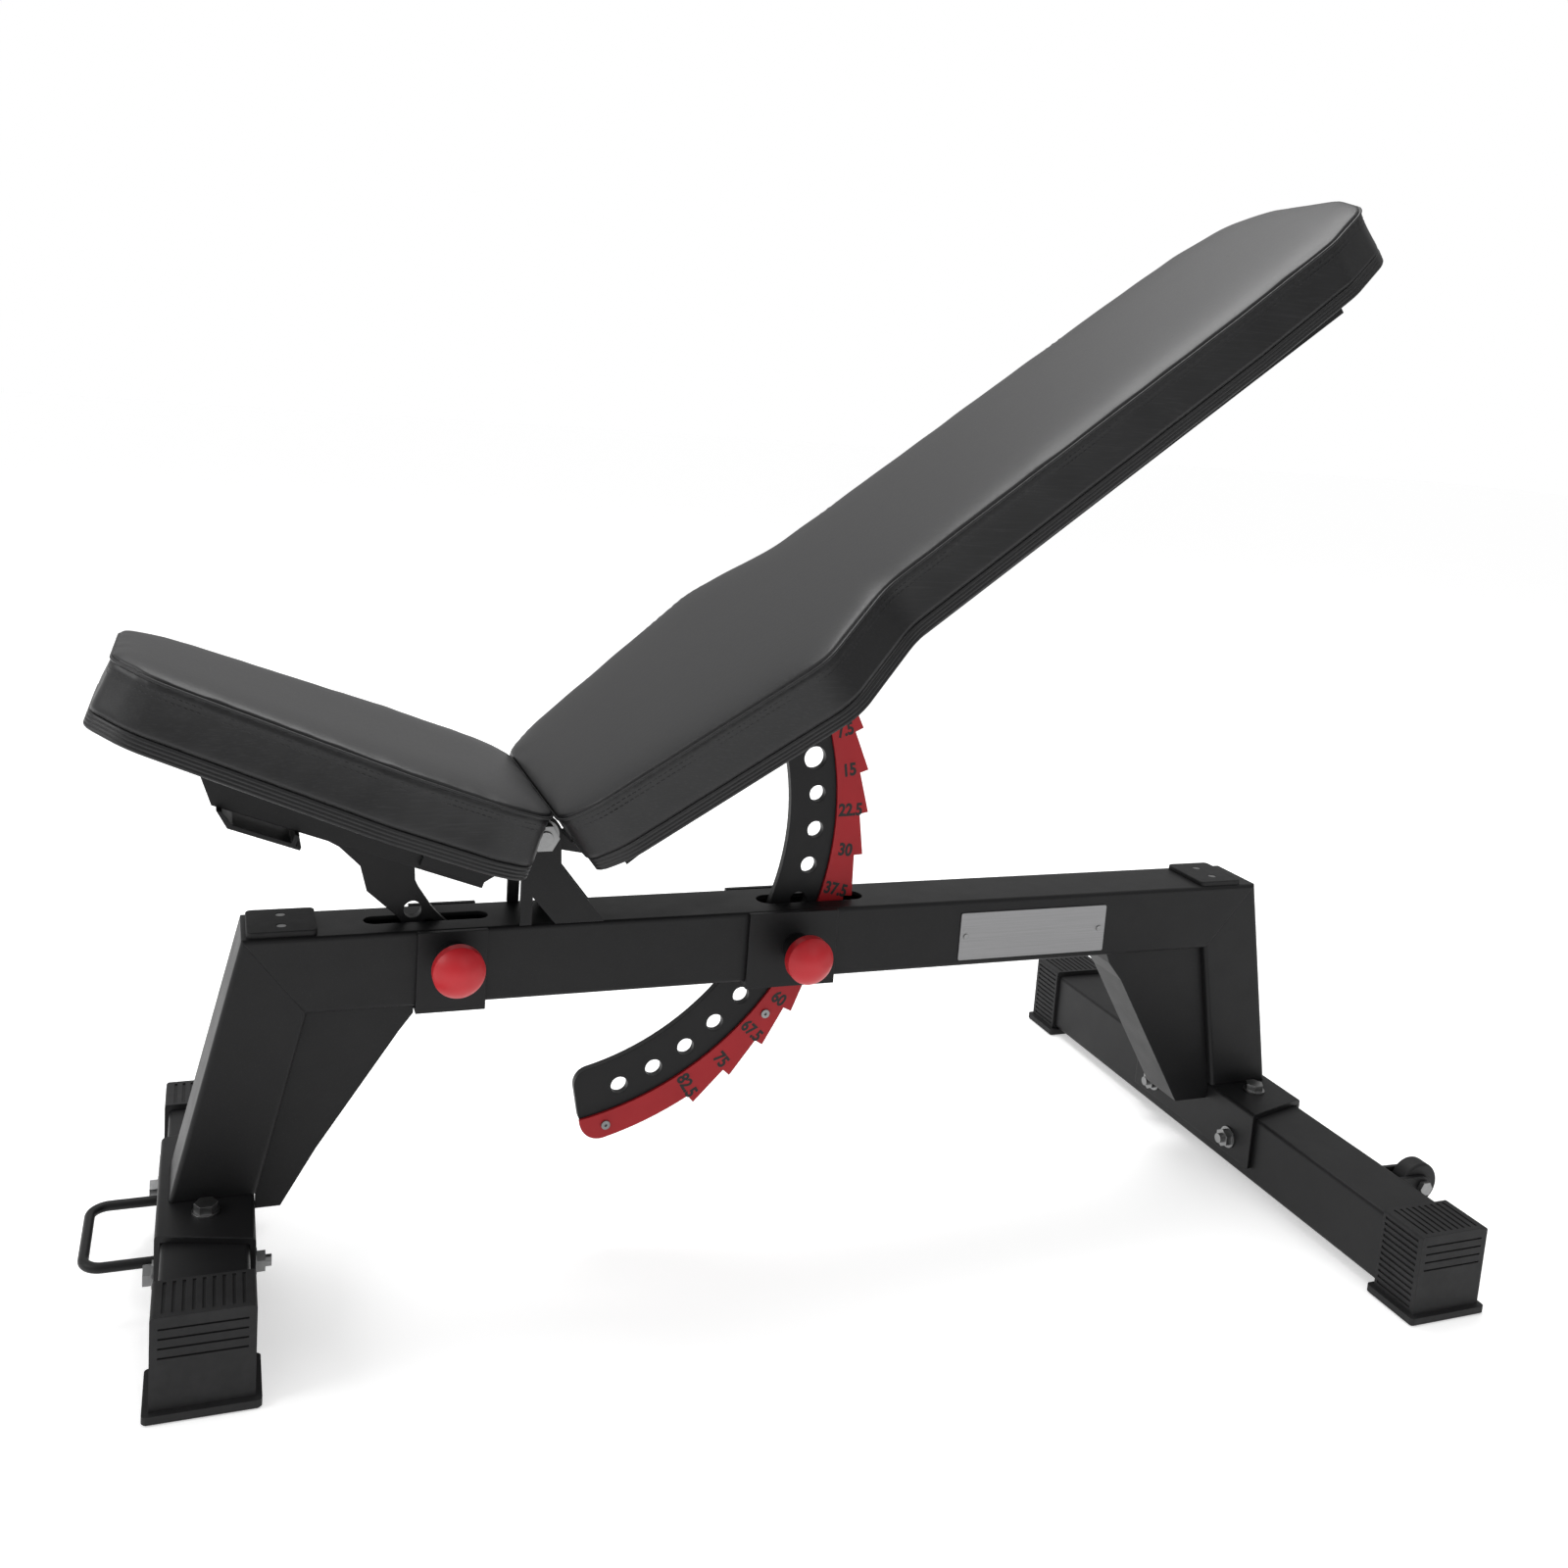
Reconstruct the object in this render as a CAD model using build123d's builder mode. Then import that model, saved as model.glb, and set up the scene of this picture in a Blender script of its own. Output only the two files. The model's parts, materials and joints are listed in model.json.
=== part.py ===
from build123d import *
from math import cos, sin, tan, radians, sqrt, degrees, atan2
import os

os.makedirs("parts", exist_ok=True)

# ---------------------------------------------------------------- driving dimensions (mm)
front_x = -540.25           # front crossbar, so that the footprint box is centred on the origin
crossbar_gap = 1094.0       # distance between the two crossbars
rear_x = front_x + crossbar_gap
tube = 70.0                 # square tube of beam, legs and crossbars
wall = 3.5
tube_round, bore_round = 4.0, 1.5      # corner radii of the tube, outside and inside
overrun = 50.0              # how far a cutting body runs past what it cuts
beam_top = 319.0
beam_bottom = beam_top - tube
bar_low, bar_high = 10.0, 80.0          # crossbar tube, below and above
front_half, rear_half = 200.0, 348.0    # half widths over the foot caps
saddle_plate = 6.0
saddle_top = bar_high + saddle_plate
front_lean, rear_lean = radians(13.2), radians(11.0)
front_leg_x = front_x + 4.0             # leg centre at the crossbar's top
rear_leg_x = rear_x - 4.0

pivot_x, pivot_z = front_x + 280.0, 404.0
back_rest, seat_rest = 37.5, 20.0       # angles of the pads as built
back_top_setting = 82.5
notch = 7.5
hole_radius_back = 281.0                # quadrant hole circle
back_pin_z = beam_bottom + 35.0
seat_pin_x, seat_pin_z = front_x + 203.0, 296.0
pin_r, pin_hole_r = 7.0, 8.5
bolt_r = 7.0                            # pivot bolt

pad_high, pad_low, board_low = 36.0, -12.0, -26.0   # heights above the pivot line
plate_low = -30.0
back_tube_low, seat_tube_low = -78.0, -66.0
lip_low = -78.0

back_pin_angle = -degrees(atan2(pivot_z - back_pin_z,
                                sqrt(hole_radius_back ** 2 - (pivot_z - back_pin_z) ** 2)))
back_pin_x = pivot_x + hole_radius_back * cos(radians(back_pin_angle))
seat_pin_radius = sqrt((pivot_x - seat_pin_x) ** 2 + (pivot_z - seat_pin_z) ** 2)

# ---------------------------------------------------------------- planes of the moving frames
back_dir = Vector(cos(radians(back_rest)), 0, sin(radians(back_rest)))
back_up = Vector(-sin(radians(back_rest)), 0, cos(radians(back_rest)))
seat_dir = Vector(-cos(radians(seat_rest)), 0, sin(radians(seat_rest)))
seat_up = Vector(sin(radians(seat_rest)), 0, cos(radians(seat_rest)))
pivot = Vector(pivot_x, 0, pivot_z)
back_flat = Plane(origin=pivot, x_dir=back_dir, z_dir=back_up)      # x along the pad, z out of it
seat_flat = Plane(origin=pivot, x_dir=seat_dir, z_dir=seat_up)
back_side = Plane(origin=pivot, x_dir=back_dir, z_dir=(0, -1, 0))   # x along the pad, y out of it
seat_side = Plane(origin=pivot, x_dir=seat_dir, z_dir=(0, 1, 0))
world_side = Plane.XZ                                               # x right, y up, faces -Y


def write(piece, label):
    piece.part.label = label
    export_step(piece.part, f"parts/{label}.step")


def on_y(plane, y):
    """The same plane, moved to height y along the world's Y axis."""
    return Plane(origin=plane.origin + Vector(0, y, 0), x_dir=plane.x_dir, z_dir=plane.z_dir)


def front_leg_edge(z, side):
    return front_leg_x + (z - bar_high) * tan(front_lean) + side * tube / 2 / cos(front_lean)


def rear_leg_edge(z, side):
    return rear_leg_x - (z - bar_high) * tan(rear_lean) + side * tube / 2 / cos(rear_lean)


def long_edges(piece, shortest):
    """Edges that run along the tube at its four outer corners."""
    return [e for e in piece.edges() if e.length > shortest and abs(abs(e.center().Y) - tube / 2) < 0.01]


# ---------------------------------------------------------------- main frame
beam_outline = [
    (front_leg_edge(beam_top, -1), beam_top), (rear_leg_edge(beam_top, 1), beam_top),
    (rear_leg_edge(beam_bottom, -1), beam_bottom), (front_leg_edge(beam_bottom, 1), beam_bottom),
]
slot_half_back, slot_half_seat = 13.0, 10.0
back_slot_top = (front_x + 505, front_x + 618)
back_slot_bottom = (front_x + 469, front_x + 589)
seat_slot_top = (front_x + 128, front_x + 240)


def slot_cut(x_range, half_width, z):
    """A round-ended slot through one wall of the beam."""
    middle = (x_range[0] + x_range[1]) / 2
    with BuildSketch(Plane(origin=(middle, 0, z))) as slot:
        SlotOverall(x_range[1] - x_range[0], 2 * half_width)
    extrude(slot.sketch, amount=wall, both=True, mode=Mode.SUBTRACT)


with BuildPart() as main_beam:
    with BuildSketch(world_side):
        Polygon(*beam_outline, align=None)
    extrude(amount=tube / 2, both=True)
    fillet(long_edges(main_beam, crossbar_gap / 2), tube_round)
    with BuildSketch(Plane.YZ.offset(front_x - overrun)):
        with Locations((0, beam_top - tube / 2)):
            RectangleRounded(tube - 2 * wall, tube - 2 * wall, bore_round)
    extrude(amount=crossbar_gap + 2 * overrun, mode=Mode.SUBTRACT)
    slot_cut(back_slot_top, slot_half_back, beam_top)
    slot_cut(back_slot_bottom, slot_half_back, beam_bottom)
    slot_cut(seat_slot_top, slot_half_seat, beam_top)
    with BuildSketch(world_side.offset(tube / 2 - 2 * wall)):
        with Locations((back_pin_x, back_pin_z), (seat_pin_x, seat_pin_z)):
            Circle(pin_hole_r)
    extrude(amount=4 * wall, mode=Mode.SUBTRACT)
write(main_beam, "main_beam")


def leg(edge, label):
    """One hollow leg, standing on its saddle and mitred to the beam."""
    side = -1 if edge is front_leg_edge else 1
    outline = [(edge(saddle_top, -1), saddle_top), (edge(saddle_top, 1), saddle_top)]
    top = [(edge(beam_bottom, -side), beam_bottom), (edge(beam_top, side), beam_top)]
    with BuildPart() as piece:
        with BuildSketch(world_side):
            Polygon(*(outline + top if side < 0 else outline + top[::-1]), align=None)
        extrude(amount=tube / 2, both=True)
        fillet(long_edges(piece, 2 * tube), tube_round)
        lean = (edge(beam_top, 0) - edge(saddle_top, 0)) / (beam_top - saddle_top)
        floor = Plane(origin=(edge(saddle_top, 0), 0, saddle_top), x_dir=(1, 0, 0), z_dir=(0, 0, 1))
        inner = (tube / 2 - wall) / cos(atan2(lean, 1))
        above = beam_top - saddle_top + overrun
        slant = [(-inner, -overrun), (inner, -overrun), (inner, above), (-inner, above)]
        with BuildSketch(world_side):
            Polygon(*[(floor.origin.X + x + z * lean, saddle_top + z) for x, z in slant], align=None)
        extrude(amount=tube / 2 - wall, both=True, mode=Mode.SUBTRACT)
    write(piece, label)


leg(front_leg_edge, "front_leg")
leg(rear_leg_edge, "rear_post")


# ---------------------------------------------------------------- gussets
gusset_half, gusset_plate = 27.0, 5.0
# Outlines below: distance behind the front crossbar's centre, height above the floor.


def gusset(outline, slope, label):
    """Two cheeks and the web that closes their sloping edge."""
    with BuildPart() as piece:
        with BuildSketch(world_side):
            Polygon(*outline, align=None)
        extrude(amount=gusset_half, both=True)
        with BuildSketch(world_side):
            Polygon(*slope, align=None)
        extrude(amount=gusset_half - gusset_plate, both=True, mode=Mode.SUBTRACT)
    write(piece, label)


gx = front_x
front_slope = [(171.8, 249), (171.8, 240), (160, 224), (91, 119), (62, 68)]
front_inner = [(40.6, 68), (40.6, 82), (front_leg_edge(saddle_top, 1) - gx + 0.1, saddle_top)]
front_corner = (front_leg_edge(beam_bottom, 1) - gx, beam_bottom)
front_hollow = [(60, 260), (166, 260), (166, 242), (155, 228), (85, 122), (55, 69), (30, 50)]
gusset([(gx + x, z) for x, z in [front_corner] + front_slope + front_inner],
       [(gx + x, z) for x, z in front_hollow], "front_gusset")
rear_slope = [(900, 249), (906, 236), (923, 216), (1012, 68)]
rear_inner = [(1053.3, 68), (1053.3, 84), (rear_leg_edge(saddle_top, -1) - gx - 0.1, saddle_top)]
rear_corner = (rear_leg_edge(beam_bottom, -1) - gx, beam_bottom)
rear_hollow = [(1060, 260), (907, 260), (912, 239), (929, 220), (1020, 66), (1070, 50)]
gusset([(gx + x, z) for x, z in [rear_corner] + rear_slope + rear_inner],
       [(gx + x, z) for x, z in rear_hollow], "rear_gusset")

# ---------------------------------------------------------------- saddles and crossbars
saddle_inner_half, saddle_outer_half = 106.0, 84.0
flange, flange_low, saddle_round = 5.0, 24.0, 4.0
side_slant = 16             # degrees; more than the slant of the saddle's ends
through_y, through_z, top_bolt_y = 70.0, 43.0, 55.0
fastener_r, fastener_hole_r = 5.0, 5.25


def saddle(bar_x, outward, label):
    """An inverted channel over the crossbar; its inner side is the longer one."""
    outer, inner = bar_x + outward * (tube / 2 + flange), bar_x - outward * (tube / 2 + flange)
    with BuildPart() as piece:
        with BuildSketch(Plane.XY.offset(flange_low)):
            Polygon((outer, -saddle_outer_half), (outer, saddle_outer_half),
                    (inner, saddle_inner_half), (inner, -saddle_inner_half), align=None)
        extrude(amount=saddle_top - flange_low)
        fillet(piece.edges().filter_by(Axis.Y, tolerance=side_slant).group_by(Axis.Z)[-1], saddle_round)
        with BuildSketch(Plane.XY.offset(flange_low)):
            with Locations((bar_x, 0)):
                Rectangle(tube, 3 * saddle_inner_half)
        extrude(amount=bar_high - flange_low, mode=Mode.SUBTRACT)
        with BuildSketch(Plane.YZ.offset(bar_x - tube)):
            with Locations((-through_y, through_z), (through_y, through_z)):
                Circle(fastener_hole_r)
        extrude(amount=2 * tube, mode=Mode.SUBTRACT)
        with BuildSketch(Plane.XY.offset(bar_high)):
            with Locations((bar_x, -top_bolt_y), (bar_x, top_bolt_y)):
                Circle(fastener_hole_r)
        extrude(amount=saddle_plate, mode=Mode.SUBTRACT)
    write(piece, label)


def crossbar(bar_x, half, label):
    """A square tube along Y, drilled for its saddle's bolts."""
    with BuildPart() as piece:
        with BuildSketch(Plane.XZ.offset(-half)):
            with Locations((bar_x, (bar_low + bar_high) / 2)):
                RectangleRounded(tube, tube, tube_round)
                RectangleRounded(tube - 2 * wall, tube - 2 * wall, bore_round, mode=Mode.SUBTRACT)
        extrude(amount=2 * half)
        with BuildSketch(Plane.YZ.offset(bar_x - tube)):
            with Locations((-through_y, through_z), (through_y, through_z)):
                Circle(fastener_hole_r)
        extrude(amount=2 * tube, mode=Mode.SUBTRACT)
        with BuildSketch(Plane.XY.offset(bar_high - 2 * wall)):
            with Locations((bar_x, -top_bolt_y), (bar_x, top_bolt_y)):
                Circle(fastener_hole_r)
        extrude(amount=3 * wall, mode=Mode.SUBTRACT)
    write(piece, label)


cap_end = 6.0
saddle(front_x, -1, "front_saddle")
saddle(rear_x, 1, "rear_saddle")
crossbar(front_x, front_half - cap_end, "front_crossbar")
crossbar(rear_x, rear_half - cap_end, "rear_crossbar")

# ---------------------------------------------------------------- ribbed foot caps
cap_wall, cap_length, cap_top = 4.0, 50.0, 86.0
sole_out, sole_height = 5.0, 8.0
groove_width, groove_depth, groove_margin = 2.6, 1.4, 4.0
top_pitch, top_grooves, side_pitch, side_grooves = 7.4, 9, 6.0, 12
end_slot, end_slots, end_pitch, end_slots_z, end_margin = 1.6, 4, 8.0, 64.0, 6.0
cap_round, sole_round, sole_chamfer = 3.0, 4.0, 1.5


def foot_cap(bar_x, half, side, label):
    """A rubber shoe over one end of a crossbar, with ribs along the bar and a wide sole."""
    end = Plane(origin=(bar_x, side * half, 0), x_dir=(-side, 0, 0), z_dir=(0, -side, 0))
    width = tube + 2 * cap_wall
    with BuildPart() as piece:
        with BuildSketch(end):
            with Locations((0, -cap_top / 2 if end.y_dir.Z < 0 else cap_top / 2)):
                RectangleRounded(width, cap_top, cap_round)
        extrude(amount=cap_length)
        with BuildSketch(Plane.XY):
            with Locations((bar_x, side * (half - cap_length / 2))):
                RectangleRounded(width + 2 * sole_out, cap_length + 2 * sole_out, sole_round)
        extrude(amount=sole_height)
        chamfer(piece.edges().group_by(Axis.Z)[0], sole_chamfer)
        with BuildSketch(Plane.XZ.offset(-side * (half - cap_end))):
            with Locations((bar_x, (bar_low + bar_high) / 2)):
                RectangleRounded(tube, tube, tube_round)
        extrude(amount=side * cap_length * 2, mode=Mode.SUBTRACT)
        groove_y = side * (half - cap_length / 2 - 1)
        groove_length = cap_length - 2 * groove_margin
        with BuildSketch(Plane.XY.offset(cap_top)):
            with Locations((bar_x, groove_y)):
                with GridLocations(top_pitch, 0, top_grooves, 1):
                    Rectangle(groove_width, groove_length)
        extrude(amount=-groove_depth, mode=Mode.SUBTRACT)
        for face_x in (bar_x - width / 2, bar_x + width / 2):
            with BuildSketch(Plane.YZ.offset(face_x)):
                with Locations((groove_y, (cap_top + sole_height) / 2)):
                    with GridLocations(0, side_pitch, 1, side_grooves):
                        Rectangle(groove_length, groove_width)
            extrude(amount=groove_depth, both=True, mode=Mode.SUBTRACT)
        with BuildSketch(Plane.XZ.offset(-side * half)):
            with Locations((bar_x, end_slots_z)):
                with GridLocations(0, end_pitch, 1, end_slots):
                    Rectangle(width - 2 * end_margin, end_slot)
        extrude(amount=groove_depth, both=True, mode=Mode.SUBTRACT)
    write(piece, label)


for bar_name, bar_x, half in (("front", front_x, front_half), ("rear", rear_x, rear_half)):
    for side_name, side in (("near", -1), ("far", 1)):
        foot_cap(bar_x, half, side, f"{bar_name}_foot_cap_{side_name}")


# ---------------------------------------------------------------- frame fasteners
hex_flat, head_height, washer_r, washer_height = 17.0, 7.0, 11.5, 1.8
through_spare, top_spare = 14.0, 10.0   # shank beyond the plates it clamps


def hex_bolt(origin, direction, length):
    """Washer, hexagon head and shank; the shank runs backward from the seat face."""
    seat = Plane(origin=origin, z_dir=direction)
    with BuildSketch(seat) as washer:
        Circle(washer_r)
    extrude(washer.sketch, amount=washer_height)
    with BuildSketch(seat.offset(washer_height)) as head:
        RegularPolygon(hex_flat / 2, 6, major_radius=False)
    extrude(head.sketch, amount=head_height)
    with BuildSketch(seat) as shank:
        Circle(fastener_r)
    extrude(shank.sketch, amount=-length)


def hex_nut(origin, direction):
    """Washer and nut on the bolt's threaded end, which stands a little proud."""
    seat = Plane(origin=origin, z_dir=direction)
    with BuildSketch(seat) as washer:
        Circle(washer_r)
        Circle(fastener_r, mode=Mode.SUBTRACT)
    extrude(washer.sketch, amount=washer_height)
    with BuildSketch(seat.offset(washer_height)) as nut:
        RegularPolygon(hex_flat / 2, 6, major_radius=False)
        Circle(fastener_r, mode=Mode.SUBTRACT)
    extrude(nut.sketch, amount=head_height)


clamp = tube + 2 * flange
with BuildPart() as crossbar_bolts:
    for y in (-through_y, through_y):
        hex_bolt((front_x - clamp / 2, y, through_z), (-1, 0, 0), clamp + through_spare)
        hex_bolt((rear_x + clamp / 2, y, through_z), (1, 0, 0), clamp + through_spare)
write(crossbar_bolts, "crossbar_bolts")

with BuildPart() as crossbar_nuts:
    for y in (-through_y, through_y):
        hex_nut((front_x + clamp / 2, y, through_z), (1, 0, 0))
        hex_nut((rear_x - clamp / 2, y, through_z), (-1, 0, 0))
write(crossbar_nuts, "crossbar_nuts")

with BuildPart() as saddle_bolts:
    for x in (front_x, rear_x):
        for y in (-top_bolt_y, top_bolt_y):
            hex_bolt((x, y, saddle_top), (0, 0, 1), saddle_plate + wall + top_spare)
write(saddle_bolts, "saddle_bolts")

# ---------------------------------------------------------------- carry handle
handle_half, handle_reach, rod_r, handle_bend = 50.0, 97.0, 4.5, 16.0
handle_z = 43.0
with BuildPart() as carry_handle:
    root_x = front_x - clamp / 2
    with BuildLine() as handle_path:
        FilletPolyline((root_x, -handle_half, handle_z), (front_x - handle_reach, -handle_half, handle_z),
                       (front_x - handle_reach, handle_half, handle_z), (root_x, handle_half, handle_z),
                       radius=handle_bend)
    with BuildSketch(Plane(origin=handle_path.line @ 0, z_dir=handle_path.line % 0)):
        Circle(rod_r)
    sweep()
write(carry_handle, "carry_handle")

# ---------------------------------------------------------------- transport wheels
wheel_x, wheel_z, wheel_y = rear_x + 66.0, 65.0, 228.0
wheel_r, wheel_half, axle_r = 22.0, 9.0, 4.0
ear_gap, ear_plate, ear_r = 0.8, 4.0, 11.0
ear_low, ear_high = wheel_z - 24.0, wheel_z + 12.0
wheel_round, recess_r, hub_r, recess_depth = 2.5, 14.0, 8.0, 2.5
axle_head_r, axle_head = 6.5, 5.0
running = 0.06              # clearance of everything that turns or slides

for side_name, side in (("near", -1), ("far", 1)):
    centre_y = side * wheel_y
    with BuildPart() as wheel:
        with BuildSketch(Plane.XZ.offset(-centre_y)):
            with Locations((wheel_x, wheel_z)):
                Circle(wheel_r)
        extrude(amount=wheel_half, both=True)
        fillet(wheel.edges(), wheel_round)
        for face in (-1, 1):
            with BuildSketch(Plane.XZ.offset(-centre_y - face * wheel_half)):
                with Locations((wheel_x, wheel_z)):
                    Circle(recess_r)
                    Circle(hub_r, mode=Mode.SUBTRACT)
            extrude(amount=-face * recess_depth, mode=Mode.SUBTRACT)
        with BuildSketch(Plane.XZ.offset(-centre_y)):
            with Locations((wheel_x, wheel_z)):
                Circle(axle_r + running)
        extrude(amount=2 * wheel_half, both=True, mode=Mode.SUBTRACT)
    write(wheel, f"wheel_{side_name}")

with BuildPart() as wheel_ears:
    inner = wheel_half + ear_gap
    for centre_y in (-wheel_y, wheel_y):
        for y in (centre_y - inner - ear_plate, centre_y + inner):
            with BuildSketch(Plane.XZ.offset(-y)):
                Polygon((rear_x + tube / 2, ear_low), (rear_x + tube / 2, ear_high),
                        (wheel_x, wheel_z + ear_r), (wheel_x, wheel_z - ear_r), align=None)
                with Locations((wheel_x, wheel_z)):
                    Circle(ear_r)
                    Circle(axle_r, mode=Mode.SUBTRACT)
            extrude(amount=-ear_plate)
write(wheel_ears, "wheel_ears")

with BuildPart() as wheel_axles:
    for centre_y in (-wheel_y, wheel_y):
        outer = wheel_half + ear_gap + ear_plate
        with BuildSketch(Plane.XZ.offset(-centre_y + outer)):
            with Locations((wheel_x, wheel_z)):
                Circle(axle_r)
        extrude(amount=-2 * outer)
        for face in (-1, 1):
            with BuildSketch(Plane.XZ.offset(-centre_y - face * outer)):
                with Locations((wheel_x, wheel_z)):
                    RegularPolygon(axle_head_r, 6, major_radius=False)
            extrude(amount=-face * axle_head)
write(wheel_axles, "wheel_axles")

# ---------------------------------------------------------------- beam fittings
bumper_height = 5.0
bumpers = {"front_bumper": (front_x + 28, front_x + 87, 30.0),
           "rear_bumper": (front_x + 1010, front_x + 1062, 32.0)}
bumper_corner, bumper_round = 5.0, 1.5
screw_y, screw_hole_r, sink_r = 14.0, 2.5, 4.5
screw_head_r, screw_shank_r, screw_sunk, screw_neck = 4.1, 2.1, 0.4, 2.4
for label, (x_low, x_high, half) in bumpers.items():
    with BuildPart() as bumper:
        with BuildSketch(Plane.XY.offset(beam_top)):
            with Locations(((x_low + x_high) / 2, 0)):
                RectangleRounded(x_high - x_low, 2 * half, bumper_corner)
        extrude(amount=bumper_height)
        fillet(bumper.edges().group_by(Axis.Z)[-1], bumper_round)
        with Locations(((x_low + x_high) / 2, -screw_y, beam_top + bumper_height),
                       ((x_low + x_high) / 2, screw_y, beam_top + bumper_height)):
            CounterSinkHole(screw_hole_r, sink_r)
    write(bumper, label)

with BuildPart() as bumper_screws:
    screw_face = beam_top + bumper_height
    for x_low, x_high, half in bumpers.values():
        for y in (-screw_y, screw_y):
            screw_axis = Plane(origin=((x_low + x_high) / 2, y, 0))
            with BuildSketch(screw_axis.offset(screw_face - screw_sunk)):
                Circle(screw_head_r)
            with BuildSketch(screw_axis.offset(screw_face - screw_neck)):
                Circle(screw_shank_r)
            loft()
            with BuildSketch(screw_axis.offset(beam_top)):
                Circle(screw_shank_r)
            extrude(amount=bumper_height - screw_neck)
write(bumper_screws, "bumper_screws")

name_left, name_right, name_low, name_high = front_x + 716, front_x + 888, 256.0, 306.0
name_x, name_z = (name_left + name_right) / 2, (name_low + name_high) / 2
name_length, name_height, name_corner, name_depth = name_right - name_left, name_high - name_low, 2.0, 1.2
rivet_offset, rivet_r, rivet_head_r, rivet_head = name_length / 2 - 7, 1.6, 3.0, 1.0
beam_side = world_side.offset(tube / 2)
with BuildPart() as name_plate:
    with BuildSketch(beam_side):
        with Locations((name_x, name_z)):
            RectangleRounded(name_length, name_height, name_corner)
            with Locations((-rivet_offset, 0), (rivet_offset, 0)):
                Circle(rivet_r, mode=Mode.SUBTRACT)
    extrude(amount=name_depth)
write(name_plate, "name_plate")

with BuildPart() as name_rivets:
    for x in (name_x - rivet_offset, name_x + rivet_offset):
        for start, depth, radius in ((0, name_depth, rivet_r), (name_depth, rivet_head, rivet_head_r)):
            with BuildSketch(beam_side.offset(start)):
                with Locations((x, name_z)):
                    Circle(radius)
            extrude(amount=depth)
write(name_rivets, "name_rivets")

# ---------------------------------------------------------------- pull pins
collar_plate = 5.0
collars = {"seat": (front_x + 172, front_x + 234), "back": (front_x + 485, front_x + 577)}
pins = {"seat": (seat_pin_x, seat_pin_z, -5.0), "back": (back_pin_x, back_pin_z, -8.5)}
housing_r, cavity_r = 14.0, 10.0
housing_start, cavity_end, housing_end = 40.0, 62.0, 66.0
knob_r, knob_start, knob_depth, dome_r = 23.0, 68.0, 24.0, 28.0
knob_round, stem_depth = 3.0, 8.0       # rounding, and how far the pin runs into the knob
coil_r, wire_r, coil_pitch, coil_length, coil_clear = 8.55, 0.8, 2.1, 6.2, 0.9
stop_start, stop_depth, stop_clear, tip_chamfer = 1.5, 2.5, 0.4, 1.5


def round_bar(x, z, y_start, length, radius, mode=Mode.ADD):
    """A round bar from the plane y = -y_start, running towards -Y."""
    with BuildSketch(world_side.offset(y_start)) as section:
        with Locations((x, z)):
            Circle(radius)
    extrude(section.sketch, amount=length, mode=mode)


for name, (x_low, x_high) in collars.items():
    pin_x, pin_z, tip = pins[name]
    with BuildPart() as collar:
        with BuildSketch(Plane.YZ.offset(x_low)):
            with Locations((0, beam_top - collar_plate / 2 - tube / 2)):
                Rectangle(tube + 2 * collar_plate, tube + collar_plate)
            with Locations((0, beam_top - tube / 2)):
                Rectangle(tube, tube, mode=Mode.SUBTRACT)
        extrude(amount=x_high - x_low)
        if name == "back":
            with BuildSketch(Plane.XY.offset(beam_bottom - 2 * collar_plate)):
                with Locations(((x_low + x_high) / 2, 0)):
                    Rectangle(2 * (x_high - x_low), 2 * slot_half_back)
            extrude(amount=2 * collar_plate, mode=Mode.SUBTRACT)
        round_bar(pin_x, pin_z, tube / 2, collar_plate, pin_hole_r, Mode.SUBTRACT)
    write(collar, f"{name}_pin_collar")

    with BuildPart() as housing:
        round_bar(pin_x, pin_z, housing_start, housing_end - housing_start, housing_r)
        round_bar(pin_x, pin_z, housing_start, cavity_end - housing_start, cavity_r, Mode.SUBTRACT)
        round_bar(pin_x, pin_z, housing_start, housing_end, pin_r + running, Mode.SUBTRACT)
    write(housing, f"{name}_pin_housing")

    with BuildPart() as plunger:
        round_bar(pin_x, pin_z, -tip, knob_start + stem_depth + tip, pin_r)
        round_bar(pin_x, pin_z, housing_start + stop_start, stop_depth, cavity_r - stop_clear)
        chamfer(plunger.edges().group_by(Axis.Y)[-1], tip_chamfer)
    write(plunger, f"{name}_pin_plunger")

    with BuildPart() as knob:
        round_bar(pin_x, pin_z, knob_start, knob_depth, knob_r)
        with Locations((pin_x, dome_r - knob_start - knob_depth, pin_z)):
            Sphere(dome_r, mode=Mode.INTERSECT)
        fillet(knob.edges().group_by(Axis.Y)[-1], knob_round)
        round_bar(pin_x, pin_z, knob_start, stem_depth, pin_r, Mode.SUBTRACT)
    write(knob, f"{name}_pin_knob")

    with BuildPart() as spring:
        with BuildLine() as coil:
            Helix(pitch=coil_pitch, height=coil_length, radius=coil_r,
                  center=(pin_x, coil_length + coil_clear - cavity_end, pin_z), direction=(0, -1, 0))
        with BuildSketch(Plane(origin=coil.line @ 0, z_dir=coil.line % 0)):
            Circle(wire_r)
        sweep(is_frenet=True)
    write(spring, f"{name}_pin_spring")

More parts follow.
